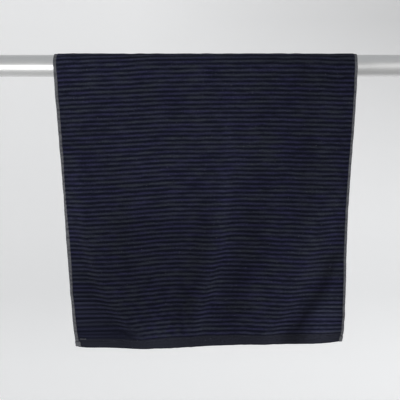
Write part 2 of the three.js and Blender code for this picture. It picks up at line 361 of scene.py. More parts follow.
def blend_colours(tree, share, first, second, way="MIX"):
    """The first colour with a share of the second laid over it."""
    made = tree.nodes.new("ShaderNodeMix")
    made.data_type = "RGBA"
    made.blend_type = way
    for place, value in ((0, share), (6, first), (7, second)):
        if isinstance(value, bpy.types.NodeSocket):
            tree.links.new(value, made.inputs[place])
        elif place == 0:
            made.inputs[place].default_value = value
        else:
            made.inputs[place].default_value = (*value, 1)
    return made.outputs[2]


def as_grey(tree, value):
    """A value as a grey colour."""
    return add_node(tree, "ShaderNodeCombineColor", {0: value, 1: value, 2: value}).outputs[0]


def spread(tree, value, low, high, to_low=0.0, to_high=1.0):
    """A value between low and high, moved to between two others and held there."""
    made = add_node(tree, "ShaderNodeMapRange", {0: value, 1: low, 2: high, 3: to_low, 4: to_high})
    return made.outputs[0]


# Noise lies mostly between these values.
NOISE_ENDS = (0.3, 0.7)
# The pile's loops are cells: how random they are, and how far one reaches from its middle.
LOOP_RANDOMNESS = 0.8
LOOP_REACH = 0.75
# Flecks: how far they gather the loops in clumps, and where they are strong enough to be lint.
FLECKS_PER_METRE = 260.0
CLUMPED = 0.45
LINT_ENDS = (0.74, 0.80)


def yarn_group():
    """Yarn on a cloth map: small loops in clumps, longer streaks, and sparse specks of lint."""
    group = bpy.data.node_groups.new("yarn", "ShaderNodeTree")
    for name, value in (("Loops per metre", 700.0), ("Streaks per metre", 40.0), ("Streak length", 4.0)):
        socket = group.interface.new_socket(name, in_out="INPUT", socket_type="NodeSocketFloat")
        socket.default_value = value
    group.interface.new_socket("Map", in_out="INPUT", socket_type="NodeSocketVector")
    for name in ("Loops", "Streaks", "Lint"):
        group.interface.new_socket(name, in_out="OUTPUT", socket_type="NodeSocketFloat")
    group.interface.new_socket("Thread map", in_out="OUTPUT", socket_type="NodeSocketVector")
    given = group.nodes.new("NodeGroupInput")
    result = group.nodes.new("NodeGroupOutput")
    cells = add_node(group, "ShaderNodeTexVoronoi", {
        "Vector": given.outputs["Map"],
        "Scale": given.outputs["Loops per metre"],
        "Randomness": LOOP_RANDOMNESS,
    }, feature="SMOOTH_F1")
    loops = spread(group, cells.outputs["Distance"], 0.0, LOOP_REACH, 1.0, 0.0)
    shrink = calculate(group, "DIVIDE", 1.0, given.outputs["Streak length"])
    along = add_node(group, "ShaderNodeCombineXYZ", {"X": shrink, "Y": 1.0, "Z": 1.0})
    stretched = add_node(group, "ShaderNodeVectorMath", {0: given.outputs["Map"], 1: along.outputs[0]},
                         operation="MULTIPLY")
    streaks = add_node(group, "ShaderNodeTexNoise", {
        "Vector": stretched.outputs[0],
        "Scale": given.outputs["Streaks per metre"],
        "Detail": 4.0,
        "Roughness": 0.6,
    })
    flecks = add_node(group, "ShaderNodeTexNoise", {
        "Vector": given.outputs["Map"],
        "Scale": FLECKS_PER_METRE,
        "Detail": 1.0,
    })
    lint = spread(group, flecks.outputs["Fac"], *LINT_ENDS)
    clumps = calculate(group, "MULTIPLY", spread(group, flecks.outputs["Fac"], *NOISE_ENDS), CLUMPED)
    tufted = calculate(group, "ADD", calculate(group, "MULTIPLY", loops, 1 - CLUMPED), clumps)
    group.links.new(tufted, result.inputs["Loops"])
    group.links.new(streaks.outputs["Fac"], result.inputs["Streaks"])
    group.links.new(lint, result.inputs["Lint"])
    group.links.new(stretched.outputs[0], result.inputs["Thread map"])
    return group


yarn = yarn_group()


def add_yarn(tree, loops, streaks, streak_length):
    """The yarn on a piece's cloth map, with its loops and streaks a metre."""
    cloth_map = add_node(tree, "ShaderNodeUVMap", uv_map="cloth")
    placed = add_node(tree, "ShaderNodeGroup", node_tree=yarn)
    placed.inputs["Loops per metre"].default_value = loops
    placed.inputs["Streaks per metre"].default_value = streaks
    placed.inputs["Streak length"].default_value = streak_length
    tree.links.new(cloth_map.outputs["UV"], placed.inputs["Map"])
    return placed


def add_bump(tree, shader, height, distance, strength):
    """Fine relief on the shader's normal."""
    bump = add_node(tree, "ShaderNodeBump", {"Height": height, "Distance": distance, "Strength": strength})
    tree.links.new(bump.outputs["Normal"], shader.inputs["Normal"])


# Colours, as linear light
RIB_NAVY = (0.0265, 0.0264, 0.0625)
RIB_FADED = (0.0315, 0.0356, 0.0519)
GROOVE_NAVY = (0.0057, 0.0069, 0.0153)
HEM_NAVY = (0.0192, 0.0205, 0.0302)
LINT_GREY = (0.06, 0.06, 0.07)
TAPE_GREY = (0.128, 0.131, 0.142)
# The darker grey of the tape's weave and its thread, and the painted shade in its dents.
TAPE_SHADE = (0.034, 0.035, 0.044)
TAPE_THREAD = (0.110, 0.112, 0.124)
METAL_GREY = (0.80, 0.80, 0.79)
METAL_DULL = (0.66, 0.66, 0.66)

# Clouds and changes of dye in the pile: how many a metre, how far clouds and streaks raise or
# sink the ribs' colour, and how far clouds take part in the dye.
CLOUDS_PER_METRE = 11.0
DYES_PER_METRE = 60.0
CLOUDY = 0.10
STREAKY = 0.28
CLOUDS_IN_DYE = 0.35
DYE_ENDS = (0.545, 0.805)
RIB_ENDS = (0.05, 1.0)
PILE_SHADES = (0.52, 1.18)
# How far the tape's weave darkens it, and how far painted shade darkens it in its dents.
WEAVE_SHARE = 0.4
PAINTED_DENT_SHARE = 0.75
TWISTS_PER_METRE = 900.0
# The bar's fine lines a metre, along it and across it, its smears, and how rough they leave it.
LINES_PER_METRE = (6.0, 900.0, 900.0)
SMEARS_PER_METRE = 14.0
METAL_ROUGHNESS = (0.34, 0.44)
SMEAR_ROUGHNESS = (-0.03, 0.04)
DULL_SHARE = 0.35


def terry_material():
    """Cut and looped cotton pile: lighter rib tops, near black grooves, a plain hem."""
    material, tree, shader = new_material("navy_terry", 0.95)
    shader.inputs["Sheen Weight"].default_value = 0.04
    shader.inputs["Sheen Roughness"].default_value = 0.5
    shader.inputs["Sheen Tint"].default_value = (0.55, 0.58, 0.75, 1)
    shader.inputs["Specular IOR Level"].default_value = 0.08
    pile = add_yarn(tree, loops=640.0, streaks=95.0, streak_length=4.0)
    rib = add_node(tree, "ShaderNodeAttribute", attribute_name="rib").outputs["Fac"]
    hem = add_node(tree, "ShaderNodeAttribute", attribute_name="hem").outputs["Fac"]
    painted_fold_light_and_shade = add_node(tree, "ShaderNodeAttribute", attribute_name="painted_fold_light_and_shade").outputs["Fac"]
    cloth_map = add_node(tree, "ShaderNodeUVMap", uv_map="cloth").outputs["UV"]
    clouds = add_node(tree, "ShaderNodeTexNoise",
                      {"Vector": cloth_map, "Scale": CLOUDS_PER_METRE, "Detail": 2.0}).outputs["Fac"]
    dye = add_node(tree, "ShaderNodeTexNoise",
                   {"Vector": pile.outputs["Thread map"], "Scale": DYES_PER_METRE}).outputs["Fac"]
    streaky = spread(tree, pile.outputs["Streaks"], *NOISE_ENDS, -STREAKY, STREAKY)
    brushed = spread(tree, clouds, *NOISE_ENDS, -CLOUDY, CLOUDY)
    worn_rib = calculate(tree, "ADD", rib, calculate(tree, "ADD", streaky, brushed))
    cloudy = calculate(tree, "MULTIPLY", clouds, CLOUDS_IN_DYE)
    faded = spread(tree, calculate(tree, "ADD", cloudy, dye), *DYE_ENDS)
    top = blend_colours(tree, faded, RIB_NAVY, RIB_FADED)
    colour = blend_colours(tree, spread(tree, worn_rib, *RIB_ENDS), GROOVE_NAVY, top)
    colour = blend_colours(tree, hem, colour, HEM_NAVY)
    shaded = spread(tree, pile.outputs["Loops"], 0.0, 1.0, *PILE_SHADES)
    # Painted shade and painted light beside the folds darken or lighten the colour here.
    shaded = calculate(tree, "MULTIPLY", shaded, calculate(tree, "ADD", painted_fold_light_and_shade, 1.0))
    colour = blend_colours(tree, 1.0, colour, as_grey(tree, shaded), "MULTIPLY")
    colour = blend_colours(tree, pile.outputs["Lint"], colour, LINT_GREY)
    tree.links.new(colour, shader.inputs["Base Color"])
    add_bump(tree, shader, pile.outputs["Loops"], distance=0.0009, strength=0.9)
    return material


def tape_material():
    """Grey cotton tape, pressed over the ribs, with a fine weave and painted shade in its dents."""
    material, tree, shader = new_material("grey_tape", 0.85)
    shader.inputs["Sheen Weight"].default_value = 0.1
    shader.inputs["Specular IOR Level"].default_value = 0.2
    weave = add_yarn(tree, loops=1100.0, streaks=300.0, streak_length=0.6)
    dent = add_node(tree, "ShaderNodeAttribute", attribute_name="dent").outputs["Fac"]
    mixed = calculate(tree, "MULTIPLY", spread(tree, weave.outputs["Streaks"], *NOISE_ENDS), WEAVE_SHARE)
    share = calculate(tree, "ADD", mixed, calculate(tree, "MULTIPLY", dent, PAINTED_DENT_SHARE))
    colour = blend_colours(tree, share, TAPE_GREY, TAPE_SHADE)
    tree.links.new(colour, shader.inputs["Base Color"])
    add_bump(tree, shader, weave.outputs["Loops"], distance=0.0004, strength=0.8)
    return material


def thread_material(name, roughness, dark, light):
    """Twisted sewing thread of two shades."""
    material, tree, shader = new_material(name, roughness)
    place = add_node(tree, "ShaderNodeTexCoord").outputs["Object"]
    twist = add_node(tree, "ShaderNodeTexNoise",
                     {"Vector": place, "Scale": TWISTS_PER_METRE, "Detail": 2.0}).outputs["Fac"]
    colour = blend_colours(tree, spread(tree, twist, *NOISE_ENDS), dark, light)
    tree.links.new(colour, shader.inputs["Base Color"])
    add_bump(tree, shader, twist, distance=0.0003, strength=0.7)
    return material


def metal_material():
    """Satin metal, drawn lengthwise: fine scratches and faint smears along the bar."""
    material, tree, shader = new_material("satin_metal", 0.35, metallic=1.0)
    place = add_node(tree, "ShaderNodeTexCoord").outputs["Object"]
    drawn = add_node(tree, "ShaderNodeMapping", {"Vector": place, "Scale": LINES_PER_METRE})
    scratches = add_node(tree, "ShaderNodeTexNoise",
                         {"Vector": drawn.outputs[0], "Scale": 1.0, "Detail": 3.0}).outputs["Fac"]
    smears = add_node(tree, "ShaderNodeTexNoise",
                      {"Vector": place, "Scale": SMEARS_PER_METRE, "Detail": 3.0}).outputs["Fac"]
    rough = spread(tree, scratches, *NOISE_ENDS, *METAL_ROUGHNESS)
    rough = calculate(tree, "ADD", rough, spread(tree, smears, *NOISE_ENDS, *SMEAR_ROUGHNESS))
    tree.links.new(rough, shader.inputs["Roughness"])
    share = spread(tree, scratches, *NOISE_ENDS, 0.0, DULL_SHARE)
    tree.links.new(blend_colours(tree, share, METAL_GREY, METAL_DULL), shader.inputs["Base Color"])
    add_bump(tree, shader, scratches, distance=0.00003, strength=0.3)
    return material


terry = terry_material()
tape_cloth = tape_material()
grey_thread = thread_material("grey_thread", 0.8, TAPE_SHADE, TAPE_THREAD)
navy_thread = thread_material("navy_thread", 0.7, GROOVE_NAVY, RIB_NAVY)
satin_metal = metal_material()

# The towel

# Over the bar the cloth is pressed: where that ends, how much thinner each face and the ribs
# are there, and how far it lies in towards the bar.
PRESSED_ENDS = (QUARTER_TURN - 0.010, QUARTER_TURN + 0.030)
OUTER_PRESS = 0.4
INNER_PRESS = 0.3
RIB_PRESS = 0.5
PRESSED_IN = 0.0004

# The ribs' form: how sharp they are, and how full the fullest is.
RIB_SHARPNESS = 1.2
RIB_MOST = 1.3

# The seed of each kind of unevenness. Each tape's dents take the next number.
SEEDS = dict(threads=3, ribs=5, body=7, bar=9, hem=13, left=11, right=21)

# Unevenness of the cloth: how large it is, and how wide and long its waves are.
THREAD_WANDER = (0.0004, 0.05, 0.20)
RIB_CHANGE = (0.17, 0.02, 0.012)
BODY_WAVES = (0.0005, 0.06, 0.06)
BODY_WAVES_FROM = (0.05, 0.10)
BAR_WAVES = (0.00035, 0.03, 0.03)
HEM_WAVES = (1.0, 0.012, 1.0)
HEM_DRAWN_IN = 0.0004
HEM_DRAWN_FROM = 0.004

# The ribs are worn flat towards the lower left corner.
FLATTENED_SHARE = 0.88
FLATTENED_DOWN = (0.622, 0.674)
FLATTENED_ACROSS = (0.19, 0.29)
FLATTENED_TONE = 0.24

# The width of the tape down each side of the front, as a share of its plain width: runs, then
# shares. Under the tape the cloth is thin and has no ribs.
TAPE_SPREAD = dict(
    left=((0.06, 0.20, 0.285, 0.38, 0.47, 0.57, 0.63, 0.66), (1.05, 1.06, 1.4, 1.6, 1.3, 0.9, 1.1, 1.15)),
    right=((0.05, 0.10, 0.18, 0.30, 0.45, 0.55, 0.64, 0.67), (0.9, 0.82, 0.8, 0.88, 0.94, 0.88, 0.82, 0.9)),
)
UNDER_TAPE = (0.0062, 0.0090)
UNDER_TAPE_SHARE = 0.65

ROWS_PER_RIB = 8
INNER_EVERY = 4
EDGE_INSETS = (0.0010, 0.0035, 0.0060, 0.0078)
EDGE_BAND = 0.0095
COLUMNS_PER_GAP = (7, 4, 6, 6, 5, 4, 5, 7, 4, 7)

# Across the hem, from its turned edge down to the end of the cloth: (distance from the end, rise).
HEM_PROFILE = (
    (0.0241, 0.0002),
    (0.0232, 0.0009),
    (0.0222, 0.0010),
    (0.0211, 0.0006),
    (0.0200, 0.0010),
    (0.0160, 0.0011),
    (0.0115, 0.0011),
    (0.0070, 0.0011),
    (0.0034, 0.0009),
    (0.0015, 0.0003),
    (0.0004, -0.0006),
    (0.0000, -0.0012),
)
STITCH_LINE, STITCH_RISE = HEM_PROFILE[3]
# How much of the hem's rise shows inside, and how far the last row stands behind the middle layer.
HEM_INSIDE = 0.6
END_INSIDE = 0.0003
TOWEL_MARKS = ("rib", "hem", "painted_fold_light_and_shade", "across", "along")

# Painted shade and painted light beside the folds of the front panel: the colour is made darker or lighter
# beside a fold line, this far aside.
FOLD_PAINTED_LIGHT_AND_SHADE = (
    dict(line="left", aside=0.000, width=0.110, runs=(-0.10, 0.17), change=0.08),
    dict(line="left", aside=0.030, width=0.025, runs=(0.20, 0.50), change=0.14),
    dict(line="left", aside=0.080, width=0.130, runs=(-0.10, 0.11), change=0.10),
    dict(line="trough_a", aside=0.000, width=0.040, runs=(0.48, 0.72), change=-0.13),
    dict(line="ease_a", aside=-0.005, width=0.122, runs=(0.34, 0.70), change=-0.24),
    dict(line="ease_a", aside=-0.002, width=0.044, runs=(0.59, 0.80), change=0.28),
    dict(line="ease_a", aside=0.032, width=0.025, runs=(0.54, 0.72), change=0.12),
    dict(line="ease_a", aside=0.026, width=0.030, runs=(0.15, 0.33), change=0.13),
    dict(line="ease_a", aside=-0.012, width=0.030, runs=(0.23, 0.46), change=-0.12),
    dict(line="low", aside=-0.012, width=0.030, runs=(0.40, 0.60), change=-0.11),
    dict(line="crest_b", aside=-0.034, width=0.030, runs=(0.33, 0.68), change=-0.30),
    dict(line="crest_b", aside=0.014, width=0.012, runs=(0.28, 0.70), change=0.36),
    dict(line="trough_b", aside=0.052, width=0.036, runs=(0.34, 0.70), change=-0.32),
    dict(line="trough_b", aside=-0.022, width=0.014, runs=(0.08, 0.38), change=0.15),
    dict(line="middle", aside=-0.012, width=0.035, runs=(-0.10, 0.42), change=-0.10),
    dict(line="crest_c", aside=0.020, width=0.035, runs=(0.33, 0.76), change=0.28),
    dict(line="crest_c", aside=-0.028, width=0.020, runs=(-0.10, 0.46), change=-0.16),
    dict(line="trough_c", aside=0.030, width=0.016, runs=(0.42, 0.76), change=-0.46),
    dict(line="right", aside=0.000, width=0.170, runs=(-0.10, 0.90), change=-0.13),
    dict(line="right", aside=-0.040, width=0.035, runs=(0.54, 0.80), change=0.26),
    dict(line="right", aside=-0.030, width=0.016, runs=(0.30, 0.80), change=0.19),
    dict(line="right", aside=-0.060, width=0.022, runs=(0.56, 0.80), change=0.42),
    dict(line="right", aside=-0.060, width=0.100, runs=(-0.10, 0.13), change=-0.09),
)
# How far along the towel each painted shade or painted light fades in and out.
PAINTED_FOLD_FADE = 0.08


def towel_columns():
    """Where the towel's points lie across it: the fold line that each is on, and its shift aside."""
    last = len(LINES) - 1
    spots = [(0.0, inset) for inset in EDGE_INSETS]
    for gap, count in enumerate(COLUMNS_PER_GAP):
        for step in range(count):
            column = gap + step / count
            aside = EDGE_BAND * max(1 - column, 0) - EDGE_BAND * max(column - last + 1, 0)
            spots.append((column, aside))
    spots.append((float(last), -EDGE_BAND))
    spots.extend((float(last), -inset) for inset in reversed(EDGE_INSETS))
    return np.array(spots)


def towel_rows():
    """Where its rows lie along it: the run, the height of rib or hem, and whether it is the hem."""
    half_rib = ROWS_PER_RIB // 2
    first = -RIBS_BEHIND * ROWS_PER_RIB - half_rib
    last = RIBS_IN_FRONT * ROWS_PER_RIB + half_rib
    ribs = [step * RIB_PITCH / ROWS_PER_RIB + RIB_SHIFT for step in range(first, last + 1)]
    front = [(HALF_LENGTH - back, rise, 1.0) for back, rise in HEM_PROFILE]
    back = [(-run, rise, hem) for run, rise, hem in reversed(front)]
    return np.array(back + [(run, 0.0, 0.0) for run in ribs] + front)


def over_the_bar(run):
    """1 where the towel is pressed against the bar, and 0 where it hangs free."""
    return 1 - ramp(np.abs(run), *PRESSED_ENDS)


def rib_wave(run):
    """The ribbing along the towel, from 0 in a groove to 1 on a rib."""
    return 0.5 + 0.5 * np.cos(2 * math.pi * (run - RIB_SHIFT) / RIB_PITCH)


def paint_fold_light_and_shade(points, run):
    """Painted shade and painted light: how much darker or lighter the colour is made beside the folds of
    the front panel.
    """
    places, _ = fold_lines(FRONT_SECTIONS, np.maximum(run - QUARTER_TURN, 0))
    total = np.zeros(points.shape[:2])
    for fold in FOLD_PAINTED_LIGHT_AND_SHADE:
        start, stop = fold["runs"]
        line = places[..., LINES.index(fold["line"])] + fold["aside"]
        near = np.exp(-(((points[..., 0] - line) / fold["width"]) ** 2))
        along = ramp(run, start, start + PAINTED_FOLD_FADE) * (1 - ramp(run, stop - PAINTED_FOLD_FADE, stop))
        total += fold["change"] * near * along
    return total


def towel_layers():
    """The outer and inner faces as tables of points, and what each point is."""
    spots = towel_columns()
    rows = towel_rows()
    column = spots[None, :, 0]
    aside = spots[None, :, 1]
    run = rows[:, None, 0]
    rise = rows[:, None, 1]
    hem = rows[:, None, 2] * np.ones_like(column)
    flat_x = curve(np.arange(len(LINES)), [FRONT_SECTIONS[0][line][0] for line in LINES], column) + aside
    wander = uneven(SEEDS["threads"], flat_x, run, THREAD_WANDER) * (1 - hem)
    drawn_in = HEM_DRAWN_IN * np.clip(1 + uneven(SEEDS["hem"], flat_x, 0.0, HEM_WAVES), 0, 2)
    drawn_in = drawn_in * ramp(np.abs(run), HALF_LENGTH - HEM_DRAWN_FROM, HALF_LENGTH)
    moved = np.clip(run + wander, -HALF_LENGTH, HALF_LENGTH) - np.sign(run) * drawn_in
    middle = cloth_points(column, aside, moved)
    normals = cloth_normals(middle)
    from_left = (flat_x - FRONT_SECTIONS[0]["left"][0]) / np.interp(run, *TAPE_SPREAD["left"])
    from_right = (FRONT_SECTIONS[0]["right"][0] - flat_x) / np.interp(run, *TAPE_SPREAD["right"])
    free = ramp(np.minimum(from_left, from_right), *UNDER_TAPE)
    flattened = FLATTENED_SHARE * ramp(run, *FLATTENED_DOWN) * (1 - ramp(flat_x, *FLATTENED_ACROSS))
    fullness = np.clip(1 + uneven(SEEDS["ribs"], flat_x, run, RIB_CHANGE) - flattened, 0, RIB_MOST)
    rib = rib_wave(run) ** RIB_SHARPNESS * fullness * (1 - hem)
    pressed = over_the_bar(run)
    ground = CLOTH_THICKNESS / 2 * (UNDER_TAPE_SHARE + (1 - UNDER_TAPE_SHARE) * free)
    body = uneven(SEEDS["body"], flat_x, run, BODY_WAVES) * ramp(np.abs(run), *BODY_WAVES_FROM) * free
    on_bar = uneven(SEEDS["bar"], flat_x, run, BAR_WAVES) * pressed * free
    moved_in = PRESSED_IN * pressed * (2 - free)
    raised = (RIB_HEIGHT * rib * (1 - RIB_PRESS * pressed) + rise) * free
    outer = ground * (1 - OUTER_PRESS * pressed) + raised + body + on_bar - moved_in
    lining = HEM_INSIDE * np.maximum(rise, 0) * free
    inner = ground * (1 - INNER_PRESS * pressed) + lining - body + moved_in
    inner = np.where(np.abs(run) >= HALF_LENGTH, END_INSIDE, inner)
    return dict(
        outer=middle + normals * outer[..., None],
        inner=middle - normals * inner[..., None],
        rib=rib + FLATTENED_TONE * flattened * (1 - hem),
        hem=hem,
        # Painted shade and painted light beside the folds.
        painted_fold_light_and_shade=paint_fold_light_and_shade(middle, run),
        across=flat_x * np.ones_like(run),
        along=run * np.ones_like(column),
    )


def towel():
    """The cloth: its outer face, a plainer inner face, and the narrow faces that join them."""
    layers = towel_layers()
    bm = cloth_mesh("rib", "hem", "painted_fold_light_and_shade")
    outer, inner = (
        laid_rows(bm, layers[face][::every], **{mark: layers[mark][::every] for mark in TOWEL_MARKS})
        for face, every in (("outer", 1), ("inner", INNER_EVERY))
    )
    for end in (0, -1):
        bmesh.ops.bridge_loops(bm, edges=chain(outer[end]) + chain(inner[end]))
        outer_side = chain([row[end] for row in outer])
        inner_side = chain([row[end] for row in inner])
        bmesh.ops.bridge_loops(bm, edges=outer_side + inner_side)
    map_cloth(bm)
    piece = make_piece("towel_cloth", bm, terry)
    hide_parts("towel")
    return piece


towel_cloth = towel()

# The side bindings

# The tape's section, folded over the edge: (distance in from the edge, height over the middle layer).
TAPE_SECTION = (
    (0.0012, 0.0012),
    (0.0069, 0.0021),
    (0.0073, 0.0025),
    (0.0068, 0.0029),
    (0.0042, 0.0030),
    (0.0017, 0.0028),
    (0.0004, 0.0018),
    (0.0000, 0.0000),
    (0.0004, -0.0017),
    (0.0017, -0.0026),
    (0.0042, -0.0028),
    (0.0068, -0.0027),
    (0.0072, -0.0023),
    (0.0069, -0.0019),
    (0.0012, -0.0012),
)
TAPE_ROWS_PER_RIB = 4
TAPE_GIRTH = 0.0165
# Its unevenness, how it swells over each rib, and how much painted shade darkens its colour between the
# ribs.
TAPE_WANDER = (0.00035, 1.0, 0.03)
RIB_PULL = 0.00015
RIB_SWELL = 0.09
DENT_SHADE_WAVES = (0.5, 1.0, 0.02)
DENT_SHADE_MIDDLE = 0.5
DENT_SHADE_MOST = 0.9
# The tape's end is turned under at each hem, and is thicker and wider there.
TAPE_END = 0.0155
END_TURN = 0.0015
END_SWELL = dict(left=0.62, right=0.34)
END_THICKENING = 0.40
END_OUTWARD = 0.0007
END_CLOSING = 0.35
END_CLOSED = 0.002
# The stitches draw the tape in just above its turned end, and painted shade darkens the notch there.
NOTCH_REACH = 0.0018
NOTCH_NARROWING = 0.10
NOTCH_SHIFT = 0.0008
NOTCH_DEPTH = 0.30
NOTCH_PAINTED_SHADE = 1.3
# Over the bar the tape is pressed flat with the cloth.
PRESSED_SHARE = 0.35
PRESSED_SHIFT = 0.0010
PRESSED_LEAST = 0.0001 - CLOTH_THICKNESS / 2
# Stitches: from one to the next, how much of that shows, and where they start and lie.
STITCH_WIDTH = 0.0007
TAPE_STITCH = 0.0032
TAPE_STITCH_SHARE = 0.78
TAPE_STITCH_START = 0.004
TAPE_STITCH_INSET = 0.0058
TAPE_STITCH_HEIGHT = 0.0029
HEM_STITCH = 0.0036
HEM_STITCH_SHARE = 0.7
HEM_STITCH_START = 0.010
HEM_STITCH_LIFT = 0.0001
TACK_SPAN = (0.014, 0.026)
TACK_STITCHES = 5
TACK_FROM_END = 0.0246
TACK_HEIGHT = 0.0024
TACK_LENGTH = 0.0036
TACK_WIDTH = 0.0030
# Points this far aside or along show which way the cloth faces.
ASIDE_PROBES = (0.0, 0.004, 0.008)
RUN_PROBES = (-0.001, 0.0, 0.001)
EDGE_COLUMN = dict(left=0, right=len(LINES) - 1)
INWARD = dict(left=1, right=-1)


def at_tape_end(run):
    """1 on the turned ends of the tape, and 0 elsewhere."""
    return ramp(np.abs(run), HALF_LENGTH - TAPE_END - END_TURN, HALF_LENGTH - TAPE_END + END_TURN)


def tape_runs():
    """Where the tape's rows lie along the towel."""
    count = round(2 * HALF_LENGTH / RIB_PITCH * TAPE_ROWS_PER_RIB)
    return np.linspace(-HALF_LENGTH, HALF_LENGTH, count + 1)


def edge_frame(side, run):
    """The cloth's edge and its outward direction along one side."""
    inset = np.array(ASIDE_PROBES)[None, :] * INWARD[side]
    points = cloth_points(float(EDGE_COLUMN[side]), inset, run)
    if side == "right":
        points = points[:, ::-1]
    normals = cloth_normals(points)
    place = 0 if side == "left" else -1
    return points[:, place], normals[:, place]


def binding(side):
    """Tape folded over one long edge, swollen a little over each rib and over the hems."""
    run = tape_runs()[:, None]
    edge, outward = edge_frame(side, run)
    section = np.array(TAPE_SECTION + TAPE_SECTION[:1])[None]
    at_end = at_tape_end(run)
    notch = np.exp(-(((np.abs(run) - HALF_LENGTH + TAPE_END) / NOTCH_REACH) ** 2))
    closed = 1 - END_CLOSING * ramp(np.abs(run), HALF_LENGTH - END_CLOSED, HALF_LENGTH)
    on_rib = rib_wave(run)
    wobble = uneven(SEEDS[side], 0.0, run, TAPE_WANDER) - RIB_PULL * on_rib
    width = np.interp(run, *TAPE_SPREAD[side]) * (1 + END_SWELL[side] * at_end - NOTCH_NARROWING * notch)
    inward = section[..., 0] * width + wobble + NOTCH_SHIFT * notch - END_OUTWARD * at_end
    swell = 1 + RIB_SWELL * on_rib + END_THICKENING * at_end - NOTCH_DEPTH * notch
    height = section[..., 1] * swell * closed
    pressed = np.maximum(PRESSED_SHARE * height - PRESSED_SHIFT, PRESSED_LEAST)
    height = height + (pressed - height) * over_the_bar(run)
    points = edge[:, None, :] + outward[:, None, :] * height[..., None]
    points[..., 0] += inward * INWARD[side]
    girth = np.linspace(0, TAPE_GIRTH, len(TAPE_SECTION) + 1)
    bm = cloth_mesh("dent")
    # Painted shade: darker between the ribs in uneven spots, and darker still in the notch above each end.
    spots = np.clip(DENT_SHADE_MIDDLE + uneven(SEEDS[side] + 1, 0.0, run, DENT_SHADE_WAVES), 0, DENT_SHADE_MOST)
    dent = (1 - on_rib) * spots * (1 - at_end) + NOTCH_PAINTED_SHADE * notch
    rings = laid_rows(bm, points, across=girth, along=run, dent=dent)
    map_cloth(bm)
    seam = [vert for ring in rings for vert in (ring[0], ring[-1])]
    bmesh.ops.remove_doubles(bm, verts=seam, dist=SEAM_WITHIN)
    bmesh.ops.holes_fill(bm, edges=[edge for edge in bm.edges if edge.is_boundary], sides=0)
    piece = make_piece(f"binding_{side}_tape", bm, tape_cloth)
    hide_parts(f"binding_{side}")
    return piece


def add_stitches(bm, places, outward, length, width):
    """Short rounded stitches that lie on the cloth, each at its place and towards the next."""
    for place, direction, up in zip(places, np.gradient(places, axis=0), outward):
        along = Vector(direction).normalized()
        rise = Vector(up).normalized()
        side = along.cross(rise)
        turn = Matrix((along, side, rise)).transposed().to_4x4()
        size = Matrix.Diagonal((length / 2, width / 2, width / 2, 1))
        spot = Matrix.Translation(Vector(place)) @ turn @ size
        bmesh.ops.create_icosphere(bm, subdivisions=1, radius=1, matrix=spot)


def binding_stitches(side):
    """A row of stitches along the tape's inner edge, on the outer face."""
    last = HALF_LENGTH - TAPE_STITCH_START
    run = np.linspace(-last, last, round(2 * last / TAPE_STITCH) + 1)[:, None]
    edge, outward = edge_frame(side, run)
    down = run[:, 0]
    height = TAPE_STITCH_HEIGHT * (1 + RIB_SWELL * rib_wave(down) + END_THICKENING * at_tape_end(down))
    height = height + (PRESSED_SHARE * height - PRESSED_SHIFT - height) * over_the_bar(down)
    places = edge + outward * height[:, None]
    places[:, 0] += TAPE_STITCH_INSET * np.interp(down, *TAPE_SPREAD[side]) * INWARD[side]
    bm = bmesh.new()
    add_stitches(bm, places, outward, TAPE_STITCH * TAPE_STITCH_SHARE, STITCH_WIDTH)
    return make_piece(f"binding_{side}_stitches", bm, grey_thread)


tapes = {side: binding(side) for side in ("left", "right")}
tape_stitches = {side: binding_stitches(side) for side in ("left", "right")}


def over_the_cloth(column, aside, run, height):
    """Places along one thread of the cloth, this far over its middle layer, and the way out of it."""
    middle = cloth_points(column, aside, np.array(RUN_PROBES)[:, None] + run)
    outward = cloth_normals(middle)[1]
    return middle[1] + outward * height, outward


def hem_stitches(end):
    """The row of stitches that holds one hem, in thread of the towel's own colour."""
    run = (HALF_LENGTH - STITCH_LINE) * (1 if end == "front" else -1)
    first = FRONT_SECTIONS[0]["left"][0] + HEM_STITCH_START
    count = round((TOWEL_WIDTH - 2 * HEM_STITCH_START) / HEM_STITCH)
    across = first + np.arange(count) * HEM_STITCH
    start_places = [FRONT_SECTIONS[0][line][0] for line in LINES]
    column = np.interp(across, start_places, np.arange(len(LINES)))[None, :]
    height = CLOTH_THICKNESS / 2 + STITCH_RISE + HEM_STITCH_LIFT
    places, outward = over_the_cloth(column, 0.0, run, height)
    bm = bmesh.new()
    add_stitches(bm, places, outward, HEM_STITCH * HEM_STITCH_SHARE, STITCH_WIDTH)
    return make_piece(f"hem_stitches_{end}", bm, navy_thread)


def corner_tack():
    """A short row of grey stitches beside the left tape, where the front hem is caught down."""
    aside = np.linspace(*TACK_SPAN, TACK_STITCHES)[None, :]
    places, outward = over_the_cloth(0.0, aside, HALF_LENGTH - TACK_FROM_END, TACK_HEIGHT)
    bm = bmesh.new()
    add_stitches(bm, places, outward, TACK_LENGTH, TACK_WIDTH)
    return make_piece("corner_tack", bm, grey_thread)


hem_threads = [hem_stitches(end) for end in ("front", "back")] + [corner_tack()]

# The bar


